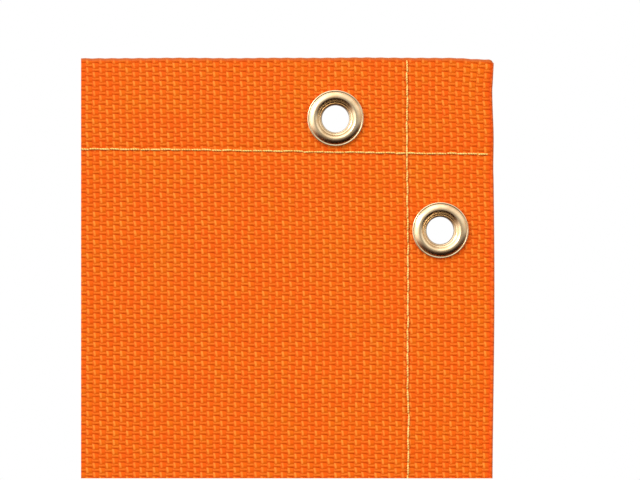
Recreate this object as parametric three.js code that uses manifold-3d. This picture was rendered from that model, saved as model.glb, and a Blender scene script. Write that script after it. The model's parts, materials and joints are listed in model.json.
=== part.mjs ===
// Welding curtain: one sheet of coated woven glass cloth with folded, sewn hems and brass grommets.
// It hangs in the X-Z plane by its top row of grommets and is seen from -Y. Lengths are millimetres.
import * as THREE from 'three';
import { mergeVertices } from 'three/addons/utils/BufferGeometryUtils.js';
import Module from 'manifold-3d';

const wasm = await Module();
wasm.setup();

// Driving dimensions
const curtainWidth = 1219;
const curtainHeight = 1829;
const clothThickness = 1.2;
const sideSeamBesideFlange = 1.95;  // side seams run this far from the grommets' flanges
const topSeamBesideFlange = 1.4;    // top and bottom seams, likewise
const rawEdgeBeyondSeam = 6.5;      // the turned flap runs this far past its seam
const topGrommetInset = 22.3;       // grommet centres of the top and bottom rows, from those edges
const sideGrommetInset = 19.5;      // grommet centres of the side rows, from the side edges
const rowEndToEdge = 58;            // last grommet of the top and bottom rows, from the side edge
const columnEndToEdge = 63.4;       // last grommet of the side rows, from the top or bottom edge
const grommetsPerRow = 3;
const grommetsPerColumn = 4;
const bendMargin = 0.5;             // room left at each bend line when a band stands square to the next
const swingMargin = 0.9;            // the same, under the doubled corners of the top hem
const clearance = 0.3;              // between pieces that touch

// Grommet
const boreRadius = 5;
const barrelWall = 0.7;
const flangeRadius = 10.2;
const flangeHeight = 2.3;
const washerInsideFlange = 0.55;    // the washer's rim is this much smaller than the flange's
const washerThickness = 0.7;
const lipReach = 1.85;              // the rolled lip beyond the barrel
const lipHeight = 1.0;
const roundSegments = 20;

// Lockstitch thread
const threadWidth = 0.8;
const threadHeight = 0.5;

// Worked-out sizes
const hemThickness = 2 * clothThickness;
const cornerThickness = 4 * clothThickness;
const sideSeamInset = sideGrommetInset + flangeRadius + sideSeamBesideFlange;
const topSeamInset = topGrommetInset + flangeRadius + topSeamBesideFlange;
const flapDepth = topSeamInset + rawEdgeBeyondSeam;
const sideFlapDepth = sideSeamInset + rawEdgeBeyondSeam;
const barrelRadius = boreRadius + barrelWall;
const holeRadius = barrelRadius + clearance;
const crestRadius = (boreRadius + flangeRadius) / 2;
const washerRadius = flangeRadius - washerInsideFlange;
const lipRadius = barrelRadius + lipReach;
const halfStack = hemThickness / 2 + clearance + threadHeight;
const bendGap = 2 * (halfStack + bendMargin);
const halfWidth = curtainWidth / 2;
const topEdge = topGrommetInset;
const bottomEdge = topEdge - curtainHeight;
const frontFace = -clothThickness / 2;
const hemBack = frontFace + hemThickness;
const rowReach = halfWidth - rowEndToEdge;
const columnX = halfWidth - sideGrommetInset;
const columnTop = topEdge - columnEndToEdge;
const columnBottom = bottomEdge + columnEndToEdge;
const bottomRow = bottomEdge + topGrommetInset;
const sideSeamX = halfWidth - sideSeamInset;
const topSeamZ = topEdge - topSeamInset;
const bottomSeamZ = bottomEdge + topSeamInset;

const clothMaterial = new THREE.MeshStandardMaterial({ color: 0xf26b1a, roughness: 0.62, metalness: 0 });
const brassMaterial = new THREE.MeshStandardMaterial({ color: 0xd9b46a, roughness: 0.24, metalness: 1 });
const threadMaterial = new THREE.MeshStandardMaterial({ color: 0xf0c85a, roughness: 0.7, metalness: 0 });

const curtain = new THREE.Group();

function evenly(count, first, last) {
  return Array.from({ length: count }, (unused, i) => first + ((last - first) * i) / (count - 1));
}

const rowXs = evenly(grommetsPerRow, -rowReach, rowReach);
const columnZs = evenly(grommetsPerColumn, columnTop, columnBottom);

// Every grommet: its name, place and the row or column that it belongs to
const grommets = [];
rowXs.forEach((x, i) => {
  grommets.push({ name: `top_${i + 1}`, x, z: 0 });
  grommets.push({ name: `bottom_${i + 1}`, x, z: bottomRow });
});
columnZs.forEach((z, i) => {
  grommets.push({ name: `left_${i + 1}`, x: -columnX, z });
  grommets.push({ name: `right_${i + 1}`, x: columnX, z });
});

// Bend lines, from the top: the swing line under the top hem, then one halfway between side grommets
const swingLine = topEdge - flapDepth - halfStack - swingMargin;
const bendLines = [swingLine];
for (let i = 1; i < columnZs.length; i += 1) {
  bendLines.push((columnZs[i - 1] + columnZs[i]) / 2);
}
const bandTops = [topEdge, ...bendLines.map((z) => z - bendGap / 2)];
const bandBottoms = [...bendLines.map((z) => z + bendGap / 2), bottomEdge];
const bands = bandTops.map((top, i) => ({ number: i + 1, top, bottom: bandBottoms[i] }));

function toSolid(geometry) {
  const bare = geometry.clone();
  bare.deleteAttribute('normal');
  bare.deleteAttribute('uv');
  const merged = mergeVertices(bare, 1e-4);
  return new wasm.Manifold(new wasm.Mesh({
    numProp: 3,
    vertProperties: new Float32Array(merged.attributes.position.array),
    triVerts: new Uint32Array(merged.index.array),
  }));
}

function toGeometry(solid) {
  const mesh = solid.getMesh();
  const geometry = new THREE.BufferGeometry();
  geometry.setAttribute('position', new THREE.BufferAttribute(new Float32Array(mesh.vertProperties), 3));
  geometry.setIndex(Array.from(mesh.triVerts));
  geometry.computeVertexNormals();
  return geometry;
}

// A box between two corners
function slab(x0, x1, y0, y1, z0, z1) {
  const box = new THREE.BoxGeometry(x1 - x0, y1 - y0, z1 - z0);
  box.translate((x0 + x1) / 2, (y0 + y1) / 2, (z0 + z1) / 2);
  return box;
}

// A round punch through every layer, along Y
function punch(x, z, radius) {
  const rod = new THREE.CylinderGeometry(radius, radius, 4 * cornerThickness, roundSegments);
  rod.translate(x, 0, z);
  return toSolid(rod);
}

// One band of the cloth: the sheet, its turned side hems, and the top or bottom hem where it has one
function clothBand(band) {
  const { top, bottom } = band;
  const layers = [slab(-halfWidth, halfWidth, frontFace, frontFace + clothThickness, bottom, top)];
  const flaps = [];
  if (band.number === 1) {
    flaps.push([topEdge - flapDepth, topEdge]);
  }
  if (band.number === bands.length) {
    flaps.push([bottomEdge, bottomEdge + flapDepth]);
  }
  for (const [flapBottom, flapTop] of flaps) {
    layers.push(slab(-halfWidth, halfWidth, frontFace, hemBack, flapBottom, flapTop));
  }
  for (const side of [-1, 1]) {
    const inner = side * (halfWidth - sideFlapDepth);
    const outer = side * halfWidth;
    const x0 = Math.min(inner, outer);
    const x1 = Math.max(inner, outer);
    layers.push(slab(x0, x1, frontFace, hemBack, bottom, top));
    for (const [flapBottom, flapTop] of flaps) {
      layers.push(slab(x0, x1, frontFace, frontFace + cornerThickness, flapBottom, flapTop));
    }
  }
  let solid = layers.map(toSolid).reduce((sum, layer) => sum.add(layer));
  for (const grommet of grommets) {
    if (grommet.z < top && grommet.z > bottom) {
      solid = solid.subtract(punch(grommet.x, grommet.z, holeRadius));
    }
  }
  return new THREE.Mesh(toGeometry(solid), clothMaterial);
}

// A ring turned from a closed outline of [radius, y] pairs, the way that a lathe makes it
function turned(outline, material) {
  const points = [...outline, outline[0]].map(([radius, y]) => new THREE.Vector2(radius, y));
  return new THREE.Mesh(new THREE.LatheGeometry(points, roundSegments), material);
}

// The front half: a rolled flange, a funnel into the bore, and a barrel set over the washer behind
function eyelet() {
  const flangeBase = frontFace - clearance;
  const washerBack = hemBack + clearance + washerThickness;
  const lipBase = washerBack + clearance;
  const lipTop = lipBase + lipHeight;
  return turned([
    [barrelRadius, flangeBase],
    [barrelRadius, lipBase],
    [lipRadius, lipBase],
    [lipRadius - 0.3, lipBase + 0.6 * lipHeight],
    [barrelRadius, lipTop],
    [boreRadius, lipTop - 0.5 * lipHeight],
    [boreRadius, frontFace],
    [boreRadius + 0.5, frontFace - 0.5 * flangeHeight],
    [(boreRadius + crestRadius) / 2, frontFace - 0.9 * flangeHeight],
    [crestRadius, frontFace - flangeHeight],
    [(flangeRadius + crestRadius) / 2 + 0.3, frontFace - 0.8 * flangeHeight],
    [flangeRadius, frontFace - 0.35 * flangeHeight],
    [flangeRadius, flangeBase],
  ], brassMaterial);
}

// The back half: a flat ring between the cloth and the rolled lip
function washer() {
  const washerFront = hemBack + clearance;
  const washerBack = washerFront + washerThickness;
  return turned([
    [holeRadius, washerFront],
    [washerRadius, washerFront],
    [washerRadius - 0.4, washerFront + 0.6 * washerThickness],
    [washerRadius - 1.2, washerBack],
    [holeRadius, washerBack],
  ], brassMaterial);
}

// A run of thread lying on the front or on the back of the cloth
function threadRun(x0, x1, y0, z0, z1) {
  return new THREE.Mesh(slab(x0, x1, y0, y0 + threadHeight, z0, z1), threadMaterial);
}

function add(name, mesh) {
  mesh.name = name;
  curtain.add(mesh);
}

const needleY = frontFace - clearance - threadHeight;
const halfThread = threadWidth / 2;
const endRows = { top: topSeamZ, bottom: bottomSeamZ };

for (const band of bands) {
  add(`cloth_band_${band.number}`, clothBand(band));
}

for (const grommet of grommets) {
  const front = eyelet();
  front.position.set(grommet.x, 0, grommet.z);
  add(`grommet_${grommet.name}_eyelet`, front);
  const back = washer();
  back.position.set(grommet.x, 0, grommet.z);
  add(`grommet_${grommet.name}_washer`, back);
}

// A side seam's front run, with an arch over each top or bottom seam that it crosses
function sideNeedleThread(band, x0, x1) {
  let solid = toSolid(slab(x0, x1, needleY, needleY + threadHeight, band.bottom, band.top));
  for (const z of Object.values(endRows)) {
    if (z < band.top && z > band.bottom) {
      const opening = halfThread + clearance;
      const arch = opening + threadHeight;
      const archY = needleY - clearance - threadHeight;
      solid = solid.add(toSolid(slab(x0, x1, archY, needleY + threadHeight, z - arch, z + arch)));
      const tunnelY = needleY - clearance;
      const tunnel = slab(x0 - 1, x1 + 1, tunnelY, needleY + 2 * threadHeight, z - opening, z + opening);
      solid = solid.subtract(toSolid(tunnel));
    }
  }
  return new THREE.Mesh(toGeometry(solid), threadMaterial);
}

// A side seam's back run: on the single hem, on the doubled corner, or stepping from one to the other
function sideBobbinThread(band, x0, x1) {
  const hemY = hemBack + clearance;
  const cornerY = frontFace + cornerThickness + clearance;
  if (band.number === 1) {
    return threadRun(x0, x1, cornerY, topEdge - flapDepth, band.top);
  }
  if (band.number < bands.length) {
    return threadRun(x0, x1, hemY, band.bottom, band.top);
  }
  const stepZ = bottomEdge + flapDepth + clearance;
  const stepTop = stepZ + threadHeight;
  const solid = toSolid(slab(x0, x1, cornerY, cornerY + threadHeight, band.bottom, stepTop))
    .add(toSolid(slab(x0, x1, hemY, cornerY + threadHeight, stepZ, stepTop)))
    .add(toSolid(slab(x0, x1, hemY, hemY + threadHeight, stepZ, band.top)));
  return new THREE.Mesh(toGeometry(solid), threadMaterial);
}

// Top and bottom seams: the front run goes from edge to edge, the back run ends where the side flaps
// cover it
for (const [name, z] of Object.entries(endRows)) {
  const backReach = halfWidth - sideFlapDepth - clearance;
  const bobbinY = hemBack + clearance;
  const z0 = z - halfThread;
  const z1 = z + halfThread;
  add(`seam_${name}_needle_thread`, threadRun(-halfWidth, halfWidth, needleY, z0, z1));
  add(`seam_${name}_bobbin_thread`, threadRun(-backReach, backReach, bobbinY, z0, z1));
}

// Side seams, sewn last, in one run for each band
for (const [side, sign] of [['left', -1], ['right', 1]]) {
  const x0 = sign * sideSeamX - halfThread;
  const x1 = sign * sideSeamX + halfThread;
  for (const band of bands) {
    add(`seam_${side}_needle_thread_${band.number}`, sideNeedleThread(band, x0, x1));
    add(`seam_${side}_bobbin_thread_${band.number}`, sideBobbinThread(band, x0, x1));
  }
}

export default curtain;
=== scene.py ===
import json
import math
import random

import bmesh
import bpy
from mathutils import Matrix, Vector, noise

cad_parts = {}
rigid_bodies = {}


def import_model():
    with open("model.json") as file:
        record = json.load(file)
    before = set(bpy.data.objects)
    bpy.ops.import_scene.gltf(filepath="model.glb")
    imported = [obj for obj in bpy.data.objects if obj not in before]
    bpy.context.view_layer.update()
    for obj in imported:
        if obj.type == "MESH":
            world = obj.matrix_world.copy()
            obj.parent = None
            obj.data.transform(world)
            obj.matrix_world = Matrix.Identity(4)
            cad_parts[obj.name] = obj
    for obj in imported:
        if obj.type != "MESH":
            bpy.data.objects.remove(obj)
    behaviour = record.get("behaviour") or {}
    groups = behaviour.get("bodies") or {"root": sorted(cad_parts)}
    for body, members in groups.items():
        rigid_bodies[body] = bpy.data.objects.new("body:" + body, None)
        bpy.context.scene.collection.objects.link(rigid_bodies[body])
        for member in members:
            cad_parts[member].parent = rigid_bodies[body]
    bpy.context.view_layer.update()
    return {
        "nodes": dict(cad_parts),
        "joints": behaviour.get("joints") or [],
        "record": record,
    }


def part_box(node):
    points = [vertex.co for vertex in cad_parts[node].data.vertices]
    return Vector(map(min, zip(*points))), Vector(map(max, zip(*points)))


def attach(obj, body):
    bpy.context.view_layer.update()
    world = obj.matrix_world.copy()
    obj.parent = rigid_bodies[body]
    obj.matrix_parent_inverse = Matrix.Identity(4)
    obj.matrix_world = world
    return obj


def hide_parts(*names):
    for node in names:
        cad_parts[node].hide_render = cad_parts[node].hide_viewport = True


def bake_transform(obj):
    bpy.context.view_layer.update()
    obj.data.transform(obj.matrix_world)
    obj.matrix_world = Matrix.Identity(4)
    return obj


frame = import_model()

millimetre = 0.001

# places and sizes that the frame gives

def middle(node):
    low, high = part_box(node)
    return (Vector(low) + Vector(high)) / 2


eyeletNodes = sorted(name for name in frame["nodes"] if name.endswith("_eyelet"))
grommetPlaces = {name[:-len("_eyelet")]: middle(name) for name in eyeletNodes}
clothLow = Vector(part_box("cloth_band_5")[0])
clothHigh = Vector(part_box("cloth_band_1")[1])
halfWidth = clothHigh.x
topEdge = clothHigh.z
bottomEdge = clothLow.z
sideSeamX = middle("seam_right_needle_thread_3").x
topSeamZ = middle("seam_top_needle_thread").z
bottomSeamZ = middle("seam_bottom_needle_thread").z
cornerGrommet = grommetPlaces["grommet_top_3"]
bendLines = [joint["pos_m"][2] for joint in frame["joints"]]
bandNames = [frame["joints"][0]["parent"]] + [joint["child"] for joint in frame["joints"]]

# camera: square on to the top right corner

cameraSet = {
    "frameWidth": 0.2349,        # metres of curtain across the view
    "aimFromGrommet": (-0.0057, -0.0446),     # metres across and up
    "heightToWidth": 480 / 640,
    "lens": 120,                 # millimetres, like the sensor
    "sensor": 36,
}


def makeCamera():
    data = bpy.data.cameras.new("camera")
    data.lens = cameraSet["lens"]
    data.sensor_width = cameraSet["sensor"]
    data.clip_start = 0.001
    data.clip_end = 100
    distance = cameraSet["frameWidth"] * cameraSet["lens"] / cameraSet["sensor"]
    camera = bpy.data.objects.new("camera", data)
    bpy.context.collection.objects.link(camera)
    aimX, aimZ = cameraSet["aimFromGrommet"]
    camera.location = (cornerGrommet.x + aimX, -distance, cornerGrommet.z + aimZ)
    camera.rotation_euler = (math.pi / 2, 0, 0)
    bpy.context.scene.camera = camera
    return camera


camera = makeCamera()
print("camera made")

# a small helper for shader maths

class Wire:
    def __init__(self, shade, socket):
        self.shade, self.socket = shade, socket

    def __add__(self, other): return self.shade.math("ADD", self, other)
    def __sub__(self, other): return self.shade.math("SUBTRACT", self, other)
    def __rsub__(self, other): return self.shade.math("SUBTRACT", other, self)
    def __mul__(self, other): return self.shade.math("MULTIPLY", self, other)
    def __truediv__(self, other): return self.shade.math("DIVIDE", self, other)
    def __pow__(self, other): return self.shade.math("POWER", self, other)
    __radd__ = __add__
    __rmul__ = __mul__


class Shade:
    def __init__(self, name):
        self.material = bpy.data.materials.new(name)
        self.material.use_nodes = True
        self.tree = self.material.node_tree
        self.tree.nodes.clear()

    def feed(self, socket, value):
        if isinstance(value, Wire):
            self.tree.links.new(value.socket, socket)
        else:
            socket.default_value = value

    def node(self, kind, settings=None, inputs=None, out=0):
        made = self.tree.nodes.new(kind)
        for key, value in (settings or {}).items():
            setattr(made, key, value)
        for key, value in (inputs or {}).items():
            self.feed(made.inputs[key], value)
        return Wire(self, made.outputs[out]) if len(made.outputs) else None

    def math(self, operation, first, second=0.0, third=0.0):
        return self.node("ShaderNodeMath", {"operation": operation}, {0: first, 1: second, 2: third})

    def mix(self, factor, first, second):
        return self.node("ShaderNodeMix", {"data_type": "RGBA", "clamp_factor": True},
                         {"Factor": factor, 6: first, 7: second}, out=2)

    def between(self, value, low, high, toLow=0.0, toHigh=1.0):
        return self.node("ShaderNodeMapRange", {"interpolation_type": "SMOOTHSTEP"},
                         {0: value, 1: low, 2: high, 3: toLow, 4: toHigh})

    def noise(self, vector, scale, detail=2.0, roughness=0.5):
        return self.node("ShaderNodeTexNoise", {},
                         {"Vector": vector, "Scale": scale, "Detail": detail, "Roughness": roughness})

    def vector(self, x, y, z=0.0):
        return self.node("ShaderNodeCombineXYZ", {}, {0: x, 1: y, 2: z})

    def surface(self, uvMap):
        # the two coordinates of a piece's own UV map, in metres
        parts = self.node("ShaderNodeSeparateXYZ", {}, {0: self.node("ShaderNodeUVMap", {"uv_map": uvMap})})
        return parts, Wire(self, parts.socket.node.outputs[1])

    def finish(self, **sockets):
        surface = self.node("ShaderNodeBsdfPrincipled", {},
                            {name.replace("_", " "): value for name, value in sockets.items()})
        self.node("ShaderNodeOutputMaterial", {}, {"Surface": surface})
        return self.material


# the cloth's sizes: one cut sheet, hems folded to the back, top and bottom first, then the sides

clothSet = {
    "thickness": 1.1 * millimetre,
    "layerPitch": 1.2 * millimetre,      # from the middle of one layer to the middle of the next
    "rawEdgeBeyondSeam": 6.5 * millimetre,
    "coarse": 11 * millimetre,           # mesh steps: in the plain field,
    "fine": 2 * millimetre,              # round the grommets and the bends,
    "foldStep": 0.28 * millimetre,       # and over the folded edges
    "nearGrommet": 13 * millimetre,
    "nearBend": 12 * millimetre,
    "nearSeam": (3 * millimetre, 0.6 * millimetre),
    "nearFlapEnd": (3 * millimetre, 1 * millimetre),
    "closeUp": (0.515, 0.09, 1.2 * millimetre),      # beside the right hem, where the camera stands close
    "splitClear": 30 * millimetre,       # between a split and a grommet
    "edgeBump": 0.09 * millimetre,
    "wave": 5.5 * millimetre,
    "flatRound": (16 * millimetre, 130 * millimetre),
    "holeRadius": 5.9 * millimetre,
}

layer = clothSet["layerPitch"]
half = clothSet["thickness"] / 2
sideFlapEnd = sideSeamX - clothSet["rawEdgeBeyondSeam"]
topFlapEnd = topSeamZ - clothSet["rawEdgeBeyondSeam"]
bottomFlapEnd = bottomSeamZ + clothSet["rawEdgeBeyondSeam"]
topFold = topEdge - half - layer / 2
bottomFold = bottomEdge + half + layer / 2
sideFold = halfWidth - half - layer / 2
foldLength = math.pi * layer / 2
cutTop = 2 * topFold + foldLength - topFlapEnd
cutBottom = 2 * bottomFold - foldLength - bottomFlapEnd
cutSide = 2 * sideFold + foldLength - sideFlapEnd


# cloth finish: plain weave of heavy glass yarn under an orange coating

weaveSet = {
    "warpPitch": 2.472 * millimetre,     # upright yarns, side to side
    "weftPitch": 1.709 * millimetre,     # level yarns, top to bottom
    "relief": 0.42 * millimetre,
    "wander": 0.56 * millimetre,
    "red": (0.86, 0.104, 0.0012, 1),
    "orange": (0.80, 0.142, 0.0020, 1),
    # painted highlight colour for the lit side of the yarn crests
    "crest": (1.0, 0.262, 0.0290, 1),
    # painted shade colour for the hollows between the yarns
    "gap": (0.66, 0.062, 0.0003, 1),
    # painted shade colours for the turned edges: a deeper red over the folds, and dark brown along their
    # outermost rim
    "foldRed": (1.0, 0.060, 0.0060, 1),
    "foldBrown": (0.44, 0.10, 0.020, 1),
}


def clothFinish():
    s = Shade("coated glass cloth")
    u, v = s.surface("weave")

    # yarns wander a little
    drift = 2 * weaveSet["wander"]
    u1 = u + (s.noise(s.vector(u, v), 60.0, 2.0) - 0.5) * drift
    v1 = v + (s.noise(s.vector(u, v, 3.7), 60.0, 2.0) - 0.5) * drift
    warpCount = u1 / weaveSet["warpPitch"]
    warpIndex = s.math("FLOOR", warpCount)
    weftCount = v1 / weaveSet["weftPitch"]
    weftIndex = s.math("FLOOR", weftCount)
    a = warpCount - warpIndex - 0.5      # place across the warp yarn, -0.5 to 0.5
    b = weftCount - weftIndex - 0.5      # place across the weft yarn

    # each yarn rises over one neighbour and sinks under the next
    warpTurn = (weftCount - 0.5 + warpIndex) * math.pi
    warpRise = s.math("COSINE", warpTurn)
    weftRise = s.math("COSINE", (warpCount - 0.5 + weftIndex) * math.pi) * -1.0
    floatIndex = s.math("FLOOR", warpTurn / (2 * math.pi) + 0.5)
    speck = s.node("ShaderNodeTexWhiteNoise", {"noise_dimensions": "2D"},
                   {"Vector": s.vector(warpIndex, floatIndex)})

    # the flat warp yarns lean: a narrow ridge left of their middle, and highest just above the next weft
    lean = s.math("SINE", warpTurn) * 0.05 + (speck - 0.5) * 0.08
    ridge = a + 0.15 + lean
    leftSlope = s.math("MINIMUM", ridge, 0.0) / 0.36
    rightSlope = s.math("MAXIMUM", ridge, 0.0) / 0.68
    warpRound = 1 - leftSlope ** 2 - s.math("POWER", rightSlope, 1.15) * 0.9
    weftRound = 1 - (b / 0.40) ** 2
    warpHeight = s.math("COSINE", warpTurn + 0.75) * 0.30 + warpRound * 0.42 + 0.16
    weftHeight = weftRise * 0.25 + weftRound * 0.30
    height = s.math("SMOOTH_MAX", warpHeight, weftHeight, 0.08)
    onWarp = s.between(warpHeight - weftHeight, -0.05, 0.08)

    # fibres run along each yarn
    warpFibres = s.noise(s.vector(u1 * 8.0, v1), 800.0, 2.0, 0.6)
    weftFibres = s.noise(s.vector(u1, v1 * 8.0), 800.0, 2.0, 0.6)
    fibres = onWarp * warpFibres + (1 - onWarp) * weftFibres

    # colour: slow mottling and a tone for each float are the cloth's own; over them, a painted highlight on
    # the lit side of the crests and painted shade in the gaps
    slow = s.noise(s.vector(u, v), 75.0, 4.0, 0.62)
    yarnShade = s.noise(s.vector(warpIndex * 0.91, v * 30.0), 1.0, 1.0)
    blendShade = slow * 0.52 + yarnShade * 0.28 + speck * 0.20
    body = s.mix(s.between(blendShade, 0.34, 0.74), weaveSet["red"], weaveSet["orange"])
    # painted highlight: a bright stroke just left of each warp ridge and along the upper side of each weft,
    # where the light from the upper left falls
    highlightStroke = s.between(s.math("ABSOLUTE", ridge + 0.10), 0.22, 0.06)
    warpHighlight = highlightStroke * s.between(warpRise, -0.75, -0.10) * onWarp
    weftHighlight = s.between(weftRound, 0.3, 0.9) * s.between(b, -0.25, 0.05) * (1 - onWarp) * 0.5
    crest = (warpHighlight + weftHighlight) * (fibres * 0.5 + speck * 0.45 + 0.30)
    withHighlight = s.mix(crest, body, weaveSet["crest"])
    # painted shade: darker in the low hollows of the weave, a painted shadow under each weft, and shade on
    # the right side of each warp, away from the light
    shadowUnderWeft = s.between(b, -0.16, -0.36) * s.between(weftRise, -0.1, 0.5)
    shadeBesideWarp = s.between(a, 0.32, 0.48) * s.between(warpRise, -0.2, 0.5) * 0.6
    paintedShadeMask = s.math("MAXIMUM", s.between(height, 0.24, 0.02), s.math("MAXIMUM", shadowUnderWeft, shadeBesideWarp))
    withPaintedShade = s.mix(paintedShadeMask * (0.50 + speck * 0.45), withHighlight, weaveSet["gap"])
    sideways = s.math("ABSOLUTE", u) - sideFold
    upright = s.math("ABSOLUTE", v - (topFold + bottomFold) / 2) - (topFold - bottomFold) / 2
    # painted shade on the turned edges: the folds at the sides and top go a deeper red and their outermost
    # rim dark brown, where the fold turns away from the light
    sideFoldShade = s.between(sideways, -0.0018, 0.0002) * s.between(sideways, 0.0060, 0.0040)
    topFoldShade = s.between(upright, -0.0004, 0.0006) * s.between(upright, 0.0030, 0.0020)
    withFoldShade = s.mix(s.math("MAXIMUM", sideFoldShade * 0.45, topFoldShade * 0.3), withPaintedShade, weaveSet["foldRed"])
    sideRimShade = s.between(sideways, 0.0, 0.0007) * s.between(sideways, 0.0024, 0.0018)
    topRimShade = s.between(upright, -0.0002, 0.0004) * s.between(upright, 0.0024, 0.0018)
    colour = s.mix(s.math("MAXIMUM", sideRimShade * 0.75, topRimShade * 0.95), withFoldShade, weaveSet["foldBrown"])

    bump = s.node("ShaderNodeBump", {}, {
        "Strength": 1.0,
        "Distance": weaveSet["relief"],
        "Height": height + fibres * 0.08,
    })
    rough = s.between(slow, 0.3, 0.7, 0.60, 0.72)
    return s.finish(Base_Color=colour, Roughness=rough, Normal=bump, Specular_IOR_Level=0.12)


# brass finish: rolled sheet with fine turned scuffs

brassSet = {
    "bright": (0.97, 0.745, 0.465, 1),
    "dull": (0.76, 0.48, 0.235, 1),
    "scuff": 0.012 * millimetre,
}


def brassFinish():
    s = Shade("rolled brass")
    place = s.node("ShaderNodeTexCoord", {}, {}, out=3)
    cloudy = s.noise(place, 260.0, 3.0)
    fine = s.noise(place, 2600.0, 2.0, 0.6)
    tarnish = s.between(cloudy, 0.42, 0.72)
    colour = s.mix(tarnish * 0.7, brassSet["bright"], brassSet["dull"])
    rough = s.between(fine * 0.4 + cloudy * 0.6, 0.3, 0.75, 0.16, 0.34)
    bump = s.node("ShaderNodeBump", {}, {
        "Strength": 0.35,
        "Distance": brassSet["scuff"],
        "Height": fine,
    })
    return s.finish(Base_Color=colour, Metallic=1.0, Roughness=rough, Normal=bump)


# thread finish: three-ply aramid

threadFinishSet = {
    "light": (1.0, 0.71, 0.22, 1),
    "deep": (0.76, 0.34, 0.04, 1),
    "plyPitch": 0.9 * millimetre,
    "relief": 0.08 * millimetre,
}


def threadFinish():
    s = Shade("aramid thread")
    along, around = s.surface("weave")
    ply = s.math("SINE", (along / threadFinishSet["plyPitch"] + around) * (2 * math.pi))
    place = s.node("ShaderNodeTexCoord", {}, {}, out=3)
    spots = s.noise(place, 700.0, 2.0)
    stretches = s.noise(place, 170.0, 1.0)
    # the ply term paints shade into the grooves between the plies and lightens the plies' crowns; the spots
    # and stretches are the thread's own uneven tone
    shade = s.between(ply * 0.25 + spots * 0.5 + stretches, 0.35, 1.05)
    colour = s.mix(shade, threadFinishSet["deep"], threadFinishSet["light"])
    bump = s.node("ShaderNodeBump", {}, {
        "Strength": 0.7,
        "Distance": threadFinishSet["relief"],
        "Height": ply * 0.5,
    })
    return s.finish(Base_Color=colour, Roughness=0.62, Normal=bump)


clothMaterial = clothFinish()
brassMaterial = brassFinish()
threadMaterial = threadFinish()
print("finishes made")

# folding the cut sheet

def smooth(value, low, high):
    t = min(max((value - low) / (high - low), 0.0), 1.0)
    return t * t * (3 - 2 * t)


def foldOver(length, start, axis, depth):
    # a layer at this depth goes round the fold axis and comes back: how far out, and how deep
    radius = axis - depth
    turn = (length - start) / radius
    if turn <= 0:
        return length, depth
    if turn < math.pi:
        return start + radius * math.sin(turn), axis - radius * math.cos(turn)
    return 2 * start - length + math.pi * radius, axis + radius


def ripple(x, z):
    # soft upright folds between the points that hold the cloth
    near, far = clothSet["flatRound"]
    calm = 1.0
    for place in grommetPlaces.values():
        calm *= smooth(math.hypot(x - place.x, z - place.z), near, far)
    drop = smooth(topEdge - z, 0.0, 0.9)
    first = math.sin(2 * math.pi * (x / 0.41 + 0.13 * math.sin(3.1 * z)) + 0.6)
    second = math.sin(2 * math.pi * (x / 0.23 - z * 0.35) + 1.9)
    third = noise.noise(Vector((x * 3.2, z * 2.4, 0.7)))
    return clothSet["wave"] * calm * (0.35 + 0.65 * drop) * (0.55 * first + 0.22 * second + 0.5 * third)


edgeSet = {
    "cornerRound": 2.8 * millimetre,
    "cornerFlare": 1.0 * millimetre,
    "hemSwell": 0.35 * millimetre,
    "sideBow": 0.40 * millimetre,
    "topWander": 0.22 * millimetre,
    "cornerDroop": 0.50 * millimetre,
    "pucker": 0.28 * millimetre,         # how far a seam pulls the cloth in
    "puckerReach": 1.5 * millimetre,
}


seamSeeds = {"top": 1, "bottom": 4, "left": 7, "right": 11}


def seamDrift(seam, along):
    # a sewn line is never quite straight: how far it leaves its ruled line
    loose = noise.noise(Vector((along * 5.5, seamSeeds[seam], 0.5)))
    if seam == "top":
        here = smooth(along, 0.30, 0.46)
        return (0.4 * loose * (1 - here) + (0.40 - 1.75 * smooth(along, 0.46, 0.609)) * here) * millimetre
    if seam == "right":
        here = smooth(along, -0.30, -0.18)
        drift = 0.50 - 0.65 * smooth(along, -0.112, -0.095) + 0.40 * smooth(along, -0.012, 0.014)
        return (0.5 * loose * (1 - here) + drift * here) * millimetre
    return 0.6 * loose * millimetre


def settle(point):
    # soft corners, edges that bow in the curtain's plane, seams that pull in, and the ripples
    x, y, z = point
    side = math.copysign(1, x)
    middleZ = (topEdge + bottomEdge) / 2
    rounding = edgeSet["cornerRound"]
    outX = abs(x) - (halfWidth - rounding)
    outZ = abs(z - middleZ) - ((topEdge - bottomEdge) / 2 - rounding)
    if outX > 0 and outZ > 0:
        pull = max(outX, outZ) / math.hypot(outX, outZ)
        x -= side * outX * (1 - pull)
        z -= math.copysign(outZ, z - middleZ) * (1 - pull)
    flat = Vector((x, z))
    near = smooth(z, -0.25, -0.11) if side > 0 else 0.0
    bow = math.sin(-36 * (z + 0.017)) * (0.35 + 0.65 * near)
    x += edgeSet["sideBow"] * bow * smooth(abs(x), 0.3, halfWidth)
    wander = noise.noise(Vector((flat.x * 40, 2.2, 0.1)))
    z += edgeSet["topWander"] * wander * smooth(abs(z - middleZ), 0.85, 0.91)
    z -= edgeSet["cornerDroop"] * smooth(abs(flat.x), 0.594, 0.605) * smooth(z, -0.03, topEdge)
    flare = edgeSet["cornerFlare"] * smooth(z, 0.010, 0.0205)
    swell = edgeSet["hemSwell"] * math.exp(-((z + 0.006) / 0.009) ** 2)
    x += side * (flare + swell) * smooth(abs(flat.x), 0.585, 0.607)
    pinch = 0.0
    for seam, away in (("top", flat.y - topSeamZ - seamDrift("top", flat.x)),
                       ("bottom", flat.y - bottomSeamZ - seamDrift("bottom", flat.x)),
                       ("right", flat.x - sideSeamX - seamDrift("right", flat.y)),
                       ("left", flat.x + sideSeamX - seamDrift("left", flat.y))):
        if abs(away) < 4 * edgeSet["puckerReach"]:
            pinch = max(pinch, math.exp(-(away / edgeSet["puckerReach"]) ** 2))
    y += edgeSet["pucker"] * pinch * (1 if y < layer else -0.4)
    return Vector((x, y + ripple(flat.x, flat.y), z))


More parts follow.
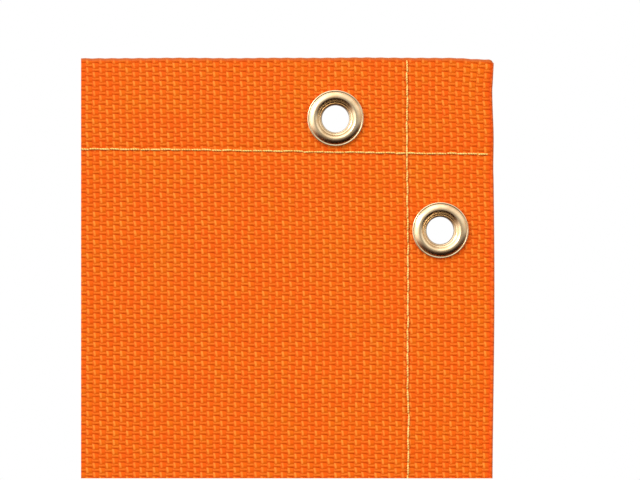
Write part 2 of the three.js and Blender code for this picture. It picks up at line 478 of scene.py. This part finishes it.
def placeCloth(u, v):
    # where a point of the cut sheet ends up
    if v >= 0.5 * (topFold + bottomFold):
        z, y = foldOver(v, topFold, layer / 2, 0.0)
        bump = clothSet["edgeBump"] * math.cos(math.pi * u / weaveSet["warpPitch"])
        z += bump * smooth(z, topEdge - 0.0025, topEdge)
    else:
        z, y = foldOver(-v, -bottomFold, layer / 2, 0.0)
        z = -z
    doubled = smooth(z, topFlapEnd - 0.005, topFlapEnd - 0.0005)
    doubled += 1 - smooth(z, bottomFlapEnd + 0.0005, bottomFlapEnd + 0.005)
    axis = layer / 2 + layer * doubled
    start = halfWidth - half - axis
    x, y = foldOver(abs(u), start, axis, y)
    return settle((math.copysign(x, u), y, z))


def gridLines(low, high, zones):
    # places from low to high, close together inside the zones (centre, reach, step)
    lines = [low]
    while lines[-1] < high:
        here = lines[-1]
        step = clothSet["coarse"]
        for centre, reach, close in zones:
            away = abs(here - centre) - reach
            if here < centre - reach:
                step = min(step, max(close, centre - reach - here))
            elif away < 1e-6:
                step = min(step, close)
        lines.append(here + step)
    lines[-1] = high
    return lines


def clothPiece(name, lowV, highV):
    grommetSide = halfWidth - abs(grommetPlaces["grommet_right_1"].x)
    bottomInset = 2 * bottomFold - foldLength - grommetPlaces["grommet_bottom_1"].z
    aroundGrommet = clothSet["nearGrommet"], clothSet["fine"]
    zonesU = []
    zonesV = [
        (topFold + 0.001, 0.0012, clothSet["foldStep"]),
        (bottomFold - 0.001, 0.0012, clothSet["foldStep"]),
    ]
    for sign in (-1, 1):
        zonesU.append((sign * (sideFold + 0.0013), 0.0030, clothSet["foldStep"]))
        zonesU.append((sign * (halfWidth - grommetSide), *aroundGrommet))
        zonesU.append((sign * (halfWidth + grommetSide - 0.0006), *aroundGrommet))
        zonesU.append((sign * sideSeamX, *clothSet["nearSeam"]))
    zonesU.append(clothSet["closeUp"])
    zonesV.append((topSeamZ - 0.0005, *clothSet["nearSeam"]))
    zonesV.append((bottomSeamZ, *clothSet["nearSeam"]))
    for place in grommetPlaces.values():
        if abs(place.x) < halfWidth * 0.95:
            zonesU.append((place.x, *aroundGrommet))
        zonesV.append((place.z, *aroundGrommet))
    zonesV.append((2 * topFold + foldLength, *aroundGrommet))
    zonesV.append((bottomInset, *aroundGrommet))
    zonesV.append((topFlapEnd - 0.003, *clothSet["nearFlapEnd"]))
    zonesV.append((bottomFlapEnd + 0.003, *clothSet["nearFlapEnd"]))
    for z in bendLines:
        zonesV.append((z, clothSet["nearBend"], clothSet["fine"]))
    acrossLines = gridLines(-cutSide, cutSide, zonesU)
    alongLines = gridLines(lowV, highV, zonesV)

    mesh = bmesh.new()
    columns, rows = len(acrossLines) - 1, len(alongLines) - 1
    bmesh.ops.create_grid(mesh, x_segments=columns, y_segments=rows, size=0.5)
    weave = mesh.loops.layers.uv.new("weave")
    for vertex in mesh.verts:
        column = round((vertex.co.x + 0.5) * columns)
        row = round((vertex.co.y + 0.5) * rows)
        vertex.co = (acrossLines[column], alongLines[row], 0)
    for face in mesh.faces:
        for loop in face.loops:
            loop[weave].uv = loop.vert.co.xy

    for vertex in mesh.verts:
        vertex.co = placeCloth(vertex.co.x, vertex.co.y)

    # punch the grommet holes through every layer, and round their edges off
    for place in grommetPlaces.values():
        inside = [vertex for vertex in mesh.verts
                  if math.hypot(vertex.co.x - place.x, vertex.co.z - place.z) < clothSet["holeRadius"]]
        if not inside:
            continue
        rim = {vertex for hit in inside for edge in hit.link_edges for face in edge.link_faces
               for vertex in face.verts} - set(inside)
        bmesh.ops.delete(mesh, geom=inside, context="VERTS")
        for vertex in rim:
            if vertex.is_valid and vertex.is_boundary:
                away = Vector((vertex.co.x - place.x, vertex.co.z - place.z))
                away *= clothSet["holeRadius"] / away.length
                vertex.co.x, vertex.co.z = place.x + away.x, place.z + away.y

    bmesh.ops.recalc_face_normals(mesh, faces=mesh.faces)

    def isFront(face):
        centre = face.calc_center_median()
        return abs(centre.x) < sideFlapEnd * 0.9 and centre.y < 0.3 * layer + ripple(centre.x, centre.z)

    if sum(face.normal.y for face in mesh.faces if isFront(face)) > 0:
        bmesh.ops.reverse_faces(mesh, faces=mesh.faces)
    piece = pieceFrom(mesh, name, clothMaterial)
    thicken = piece.modifiers.new("thickness", "SOLIDIFY")
    thicken.thickness = clothSet["thickness"]
    thicken.offset = 0
    thicken.use_even_offset = False
    applyModifiers(piece)
    piece.data.set_sharp_from_angle(angle=math.radians(55))
    return piece


def pieceFrom(mesh, name, material, smoothShaded=True):
    data = bpy.data.meshes.new(name)
    mesh.to_mesh(data)
    mesh.free()
    data.materials.append(material)
    for polygon in data.polygons:
        polygon.use_smooth = smoothShaded
    piece = bpy.data.objects.new(name, data)
    bpy.context.collection.objects.link(piece)
    return piece


def applyModifiers(piece):
    bpy.context.view_layer.update()
    graph = bpy.context.evaluated_depsgraph_get()
    finished = bpy.data.meshes.new_from_object(piece.evaluated_get(graph))
    piece.modifiers.clear()
    old = piece.data
    piece.data = finished
    bpy.data.meshes.remove(old)


# pieces run from the middle of one band to the middle of the next, across the bend line between the bands;
# bendPlans lists each bend's two bodies and its reach

def clearOfGrommets(z):
    # a split keeps away from the side grommets
    for place in grommetPlaces.values():
        if abs(z - place.z) < clothSet["splitClear"]:
            return clearOfGrommets(z - 2 * clothSet["splitClear"])
    return z


middles = [(low + high) / 2 for low, high in zip(bendLines, bendLines[1:])]
splitLines = [cutTop] + [clearOfGrommets(z) for z in middles] + [cutBottom]
bendReach = 8 * millimetre
bendPlans = []
for index, z in enumerate(bendLines):
    bendPlans.append({
        "bodies": (bandNames[index], bandNames[index + 1]),
        "start": (0, 0, z + bendReach),
        "end": (0, 0, z - bendReach),
    })

clothPieces = []
for index in range(len(bendLines)):
    high, low = splitLines[index], splitLines[index + 1]
    piece = clothPiece(f"curtain_cloth_{index + 1}", low, high)
    nodes = ["cloth_band_1", "cloth_band_2"] if index == 0 else [f"cloth_band_{index + 2}"]
    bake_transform(piece)
    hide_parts(*nodes)
    clothPieces.append((piece, high - low))
    print("cloth", piece.name, len(piece.data.polygons), "faces")

# stitches

stitchSet = {
    "topPitch": 3.75 * millimetre,
    "sidePitch": 4.48 * millimetre,
    "radius": 0.35 * millimetre,
    "proud": 0.26 * millimetre,
    "dive": 0.10 * millimetre,
    "sway": 0.12 * millimetre,
    "overCloth": 0.02 * millimetre,      # between the thread's own line and the cloth
    "frontEnd": 2.2 * millimetre,        # level needle threads stop this far from the side edges
    "otherEnd": 1 * millimetre,
    "sides": 6,
    "cuts": 5,
    "topSeed": 11,
    "sideSeed": 23,
}


def stitchTemplate(length):
    # one stitch along X, lying on the cloth in the middle and diving in at both ends
    mesh = bmesh.new()
    weave = mesh.loops.layers.uv.new("weave")
    made = bmesh.ops.create_cone(mesh, cap_ends=True, segments=stitchSet["sides"], depth=length,
                                 radius1=stitchSet["radius"], radius2=stitchSet["radius"])
    bmesh.ops.rotate(mesh, verts=made["verts"], cent=(0, 0, 0), matrix=Matrix.Rotation(math.pi / 2, 3, "Y"))
    lengthwise = [edge for edge in mesh.edges if abs(edge.verts[0].co.x - edge.verts[1].co.x) > length / 2]
    bmesh.ops.subdivide_edges(mesh, edges=lengthwise, cuts=stitchSet["cuts"])
    for face in mesh.faces:
        for loop in face.loops:
            point = loop.vert.co
            loop[weave].uv = (point.x, math.atan2(point.y, point.z) / (2 * math.pi))
    for vertex in mesh.verts:
        along = 2 * vertex.co.x / length
        taper = 1 - 0.35 * along ** 4
        lift = stitchSet["proud"] - (stitchSet["proud"] + stitchSet["dive"]) * along ** 4
        vertex.co.y = vertex.co.y * taper - lift
        vertex.co.z *= taper
    data = bpy.data.meshes.new("stitch")
    mesh.to_mesh(data)
    mesh.free()
    return data


def stitchRun(name, points, vertical, back, rng):
    # points are where the needle goes through; each pair of them holds one stitch
    mesh = bmesh.new()
    lengths = [(b - a).length for a, b in zip(points, points[1:])]
    template = stitchTemplate(sum(lengths) / len(lengths))
    for first, second in zip(points, points[1:]):
        start = len(mesh.verts)
        mesh.from_mesh(template)
        mesh.verts.ensure_lookup_table()
        fresh = mesh.verts[start:]
        turn = Matrix.Rotation(-math.pi / 2, 4, "Y") if vertical else Matrix.Identity(4)
        if back:
            turn = Matrix.Rotation(math.pi, 4, "Z" if vertical else "X") @ turn
        tilt = Matrix.Rotation(rng.uniform(-0.05, 0.05), 4, "Y")
        sway = rng.uniform(-1, 1) * stitchSet["sway"]
        shift = Vector((sway, 0, 0)) if vertical else Vector((0, 0, sway))
        place = Matrix.Translation((first + second) / 2 + shift) @ tilt @ turn
        bmesh.ops.transform(mesh, matrix=place, verts=fresh)
    bpy.data.meshes.remove(template)
    return pieceFrom(mesh, name, threadMaterial)


def needlePoints(start, end, pitch):
    count = round((end - start) / pitch)
    return [start + (end - start) * i / count for i in range(count + 1)]


frontSkin = -half - stitchSet["overCloth"]
hemSkin = layer + half + stitchSet["overCloth"]
cornerSkin = 3 * layer + half + stitchSet["overCloth"]


def topAndBottomSeams():
    rng = random.Random(stitchSet["topSeed"])
    for name, z, body in (("top", topSeamZ, bandNames[0]), ("bottom", bottomSeamZ, bandNames[-1])):
        reach = halfWidth - stitchSet["frontEnd"]
        front = [settle((x, frontSkin, z + seamDrift(name, x)))
                 for x in needlePoints(-reach, reach, stitchSet["topPitch"])]
        piece = stitchRun(f"{name}_seam_needle_stitches", front, False, False, rng)
        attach(piece, body)
        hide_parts(f"seam_{name}_needle_thread")
        backReach = sideFlapEnd - stitchSet["otherEnd"]
        back = [settle((x, hemSkin, z + seamDrift(name, x)))
                for x in needlePoints(-backReach, backReach, stitchSet["topPitch"])]
        piece = stitchRun(f"{name}_seam_bobbin_stitches", back, False, True, rng)
        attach(piece, body)
        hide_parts(f"seam_{name}_bobbin_thread")


def sideSeams():
    rng = random.Random(stitchSet["sideSeed"])
    pitch = stitchSet["sidePitch"]
    for side, sign in (("left", -1), ("right", 1)):
        x = sign * sideSeamX
        allPoints = needlePoints(bottomEdge + stitchSet["otherEnd"], topEdge - stitchSet["otherEnd"], pitch)
        for index, plan in enumerate(bendPlans):
            high = splitLines[index] if index else topEdge
            low = splitLines[index + 1] if index < len(bendPlans) - 1 else bottomEdge
            inRun = [z for z in allPoints if low - pitch / 2 < z <= high + pitch / 2]
            bands = [1, 2] if index == 0 else [index + 2]
            for kind, back in (("needle", False), ("bobbin", True)):
                points = []
                for z in inRun:
                    corner = smooth(z, topFlapEnd - 0.005, topFlapEnd)
                    corner += 1 - smooth(z, bottomFlapEnd, bottomFlapEnd + 0.005)
                    y = hemSkin + (cornerSkin - hemSkin) * corner if back else frontSkin
                    points.append(settle((x + seamDrift(side, z), y, z)))
                piece = stitchRun(f"{side}_seam_{kind}_stitches_{index + 1}", points, True, back, rng)
                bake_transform(piece)
                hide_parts(*[f"seam_{side}_{kind}_thread_{band}" for band in bands])


topAndBottomSeams()
sideSeams()
print("seams sewn")

# grommets

grommetSet = {
    "turns": 72,
    # radius and depth in millimetres, round the pressed sheet: brim, dome, funnel, barrel, set-over lip
    "eyelet": [
        (10.16, -0.60), (10.32, -0.70), (10.40, -0.88), (10.40, -1.08), (10.31, -1.27), (10.16, -1.39),
        (9.97, -1.43), (9.80, -1.38), (9.68, -1.30), (9.58, -1.31), (9.48, -1.41), (9.34, -1.57),
        (9.12, -1.76), (8.84, -1.95), (8.52, -2.12), (8.20, -2.25), (7.90, -2.33), (7.62, -2.35),
        (7.36, -2.30), (7.12, -2.16), (6.86, -1.94), (6.58, -1.67),
        (6.28, -1.38), (6.02, -1.10), (5.92, -1.06), (5.78, -0.96), (5.56, -0.66), (5.35, -0.28),
        (5.18, 0.2), (5.06, 1.0), (5.0, 1.9), (5.0, 2.9), (5.08, 3.35), (5.38, 3.78),
        (5.90, 4.02), (6.50, 3.98), (7.02, 3.66), (7.28, 3.20), (7.30, 2.92), (6.98, 2.90), (6.74, 3.24),
        (6.38, 3.50), (5.96, 3.52), (5.64, 3.30), (5.52, 2.90), (5.52, 1.9), (5.56, 1.2), (5.66, 0.5),
        (5.82, 0.05), (6.02, -0.30), (6.30, -0.66), (6.60, -1.02), (6.90, -1.42), (7.16, -1.72),
        (7.40, -1.86), (7.62, -1.90), (7.86, -1.88), (8.14, -1.81), (8.44, -1.69), (8.74, -1.53),
        (9.02, -1.33), (9.28, -1.06), (9.44, -0.82), (9.58, -0.66), (9.80, -0.60),
    ],
    "washer": [
        (5.70, 1.92), (6.6, 1.86), (8.2, 1.82), (9.35, 1.80), (9.62, 1.92), (9.66, 2.10), (9.50, 2.28),
        (9.10, 2.36), (8.60, 2.46), (8.10, 2.64), (7.50, 2.76), (6.6, 2.78), (5.9, 2.76), (5.70, 2.62),
        (5.66, 2.26),
    ],
}


def spun(name, outline, place):
    mesh = bmesh.new()
    ring = [mesh.verts.new((place.x + radius * millimetre, depth * millimetre, place.z))
            for radius, depth in outline]
    for first, second in zip(ring, ring[1:] + ring[:1]):
        mesh.edges.new((first, second))
    bmesh.ops.spin(mesh, geom=list(mesh.verts) + list(mesh.edges), cent=(place.x, 0, place.z), axis=(0, 1, 0),
                   angle=2 * math.pi, steps=grommetSet["turns"], use_merge=True)
    bmesh.ops.remove_doubles(mesh, verts=mesh.verts, dist=1e-7)
    bmesh.ops.recalc_face_normals(mesh, faces=mesh.faces)
    return pieceFrom(mesh, name, brassMaterial)


def bodyOf(node):
    for name, members in frame["record"]["behaviour"]["bodies"].items():
        if node in members:
            return name


for grommet, place in grommetPlaces.items():
    for part in ("eyelet", "washer"):
        node = f"{grommet}_{part}"
        piece = spun(f"{grommet}_{part}_brass", grommetSet[part], place)
        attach(piece, bodyOf(node))
        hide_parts(node)
print("grommets set")

# a loop over the cloth pieces that names the part above each one and works out the cut width, and uses
# neither

for index, (piece, length) in enumerate(clothPieces):
    above = "grommet_top_1_eyelet_brass" if index == 0 else clothPieces[index - 1][0].name
    2 * cutSide

# stage: pale floor, soft light, and the two cards that trim what the camera sees

stageSet = {
    "floorDrop": 0.10,
    "floorSize": 20,
    "floorDark": (0.74, 0.74, 0.73, 1),
    "floorPale": (0.80, 0.80, 0.79, 1),
    "cardDistance": 0.003,
    "trimLeft": 81 / 640,          # shares of the frame's width and height
    "trimBottom": 1.6 / 480,
    "worldFront": 0.435,
    "worldLeft": 1.45,
    "worldTop": 0.65,
    "lowColour": (1.0, 0.42, 0.22, 1),
    "skyColour": (1.0, 0.985, 0.96, 1),
    "keyPower": 51.9,
    "fillPower": 27.5,
    "backPower": 105.0,
}


def stagePiece(name, place, across, along, standing, material):
    mesh = bmesh.new()
    bmesh.ops.create_grid(mesh, x_segments=1, y_segments=1, size=0.5)
    bmesh.ops.scale(mesh, verts=mesh.verts, vec=(across, along, 1))
    if standing:
        bmesh.ops.rotate(mesh, verts=mesh.verts, cent=(0, 0, 0), matrix=Matrix.Rotation(math.pi / 2, 3, "X"))
    bmesh.ops.translate(mesh, verts=mesh.verts, vec=place)
    piece = pieceFrom(mesh, name, material, False)
    return piece


def makeFloor():
    s = Shade("floor")
    place = s.node("ShaderNodeTexCoord", {}, {}, out=3)
    colour = s.mix(s.noise(place, 1.4, 3.0), stageSet["floorDark"], stageSet["floorPale"])
    material = s.finish(Base_Color=colour, Roughness=0.6)
    size = stageSet["floorSize"]
    floor = stagePiece("floor", (0, 0, bottomEdge - stageSet["floorDrop"]), size, size, False, material)
    floor.visible_glossy = floor.visible_diffuse = False       # so that its light stays off the curtain


def makeCards():
    s = Shade("card")
    glow = s.node("ShaderNodeEmission", {}, {"Color": (1, 1, 1, 1), "Strength": 1.0})
    s.node("ShaderNodeOutputMaterial", {}, {"Surface": glow})
    share = stageSet["cardDistance"] / -camera.location.y
    halfAcross = cameraSet["frameWidth"] * share / 2
    halfUp = halfAcross * cameraSet["heightToWidth"]
    y = camera.location.y + stageSet["cardDistance"]
    trimX = camera.location.x - halfAcross + 2 * halfAcross * stageSet["trimLeft"]
    trimZ = camera.location.z - halfUp + 2 * halfUp * stageSet["trimBottom"]
    leftPlace = (trimX - halfAcross, y, camera.location.z)
    lowPlace = (trimX + halfAcross, y, trimZ - halfUp)
    for name, place, tall in (("card_left", leftPlace, 2.4 * halfUp), ("card_low", lowPlace, 2 * halfUp)):
        card = stagePiece(name, place, 2 * halfAcross, tall, True, s.material)
        card.visible_diffuse = card.visible_glossy = card.visible_shadow = card.visible_transmission = False


def makeWorld():
    world = bpy.data.worlds.new("studio")
    bpy.context.scene.world = world
    world.use_nodes = True
    s = Shade("unused")
    bpy.data.materials.remove(s.material)
    s.tree = world.node_tree
    s.tree.nodes.clear()
    heading = s.node("ShaderNodeSeparateXYZ", {}, {0: s.node("ShaderNodeTexCoord", {}, {}, out=0)})
    x, y, z = heading, Wire(s, heading.socket.node.outputs[1]), Wire(s, heading.socket.node.outputs[2])
    fromLeft = s.between(z * 0.53 - x * 0.85, 0.10, 0.85)
    fromTop = s.between(z * 0.87 + x * 0.50, 0.15, 0.90)
    low = s.between(z, -0.75, 0.0, 0.08, 1.0)
    lowRight = s.between(x * 0.55 - z * 0.83, 0.45, 0.85, 1.0, 0.25)
    ahead = s.between(y, 0.15, -0.25, 0.75, 1.0)       # less light comes from behind the curtain
    straightBehind = s.between(y, 0.93, 0.97)          # what the walls of the grommets' barrels mirror
    glow = fromLeft * stageSet["worldLeft"] + fromTop * stageSet["worldTop"] + stageSet["worldFront"]
    glow = glow * low * lowRight * ahead * (1 - straightBehind * 0.4)
    notLow = s.between(z, -0.85, -0.15) * (1 - straightBehind)
    tint = s.mix(notLow, stageSet["lowColour"], stageSet["skyColour"])
    lit = s.node("ShaderNodeBackground", {}, {"Color": tint, "Strength": glow})
    seen = s.node("ShaderNodeBackground", {}, {"Color": (1, 1, 1, 1), "Strength": 1.0})
    straight = s.node("ShaderNodeLightPath", {}, {}, out=0)
    both = s.node("ShaderNodeMixShader", {}, {0: straight, 1: lit, 2: seen})
    s.node("ShaderNodeOutputWorld", {}, {"Surface": both})


def softbox(name, place, aim, size, power, mirrored=True):
    data = bpy.data.lights.new(name, "AREA")
    data.shape = "RECTANGLE"
    data.size, data.size_y = size
    data.energy = power
    lamp = bpy.data.objects.new(name, data)
    bpy.context.collection.objects.link(lamp)
    lamp.location = place
    lamp.visible_glossy = mirrored
    lamp.rotation_euler = (Vector(aim) - Vector(place)).to_track_quat("-Z", "Y").to_euler()


makeFloor()
makeCards()
makeWorld()
softbox("key", (-2.2, -1.9, 1.5), (0.3, 0, -0.4), (1.2, 1.2), stageSet["keyPower"])
softbox("fill", (2.6, -1.0, 0.2), (0.3, 0, -0.5), (1.2, 1.8), stageSet["fillPower"], False)
softbox("back", (-1.7, 2.5, 0.9), (0, 0, -0.9), (2.0, 2.0), stageSet["backPower"], False)
bpy.context.scene.view_settings.view_transform = "Standard"
print("stage set")
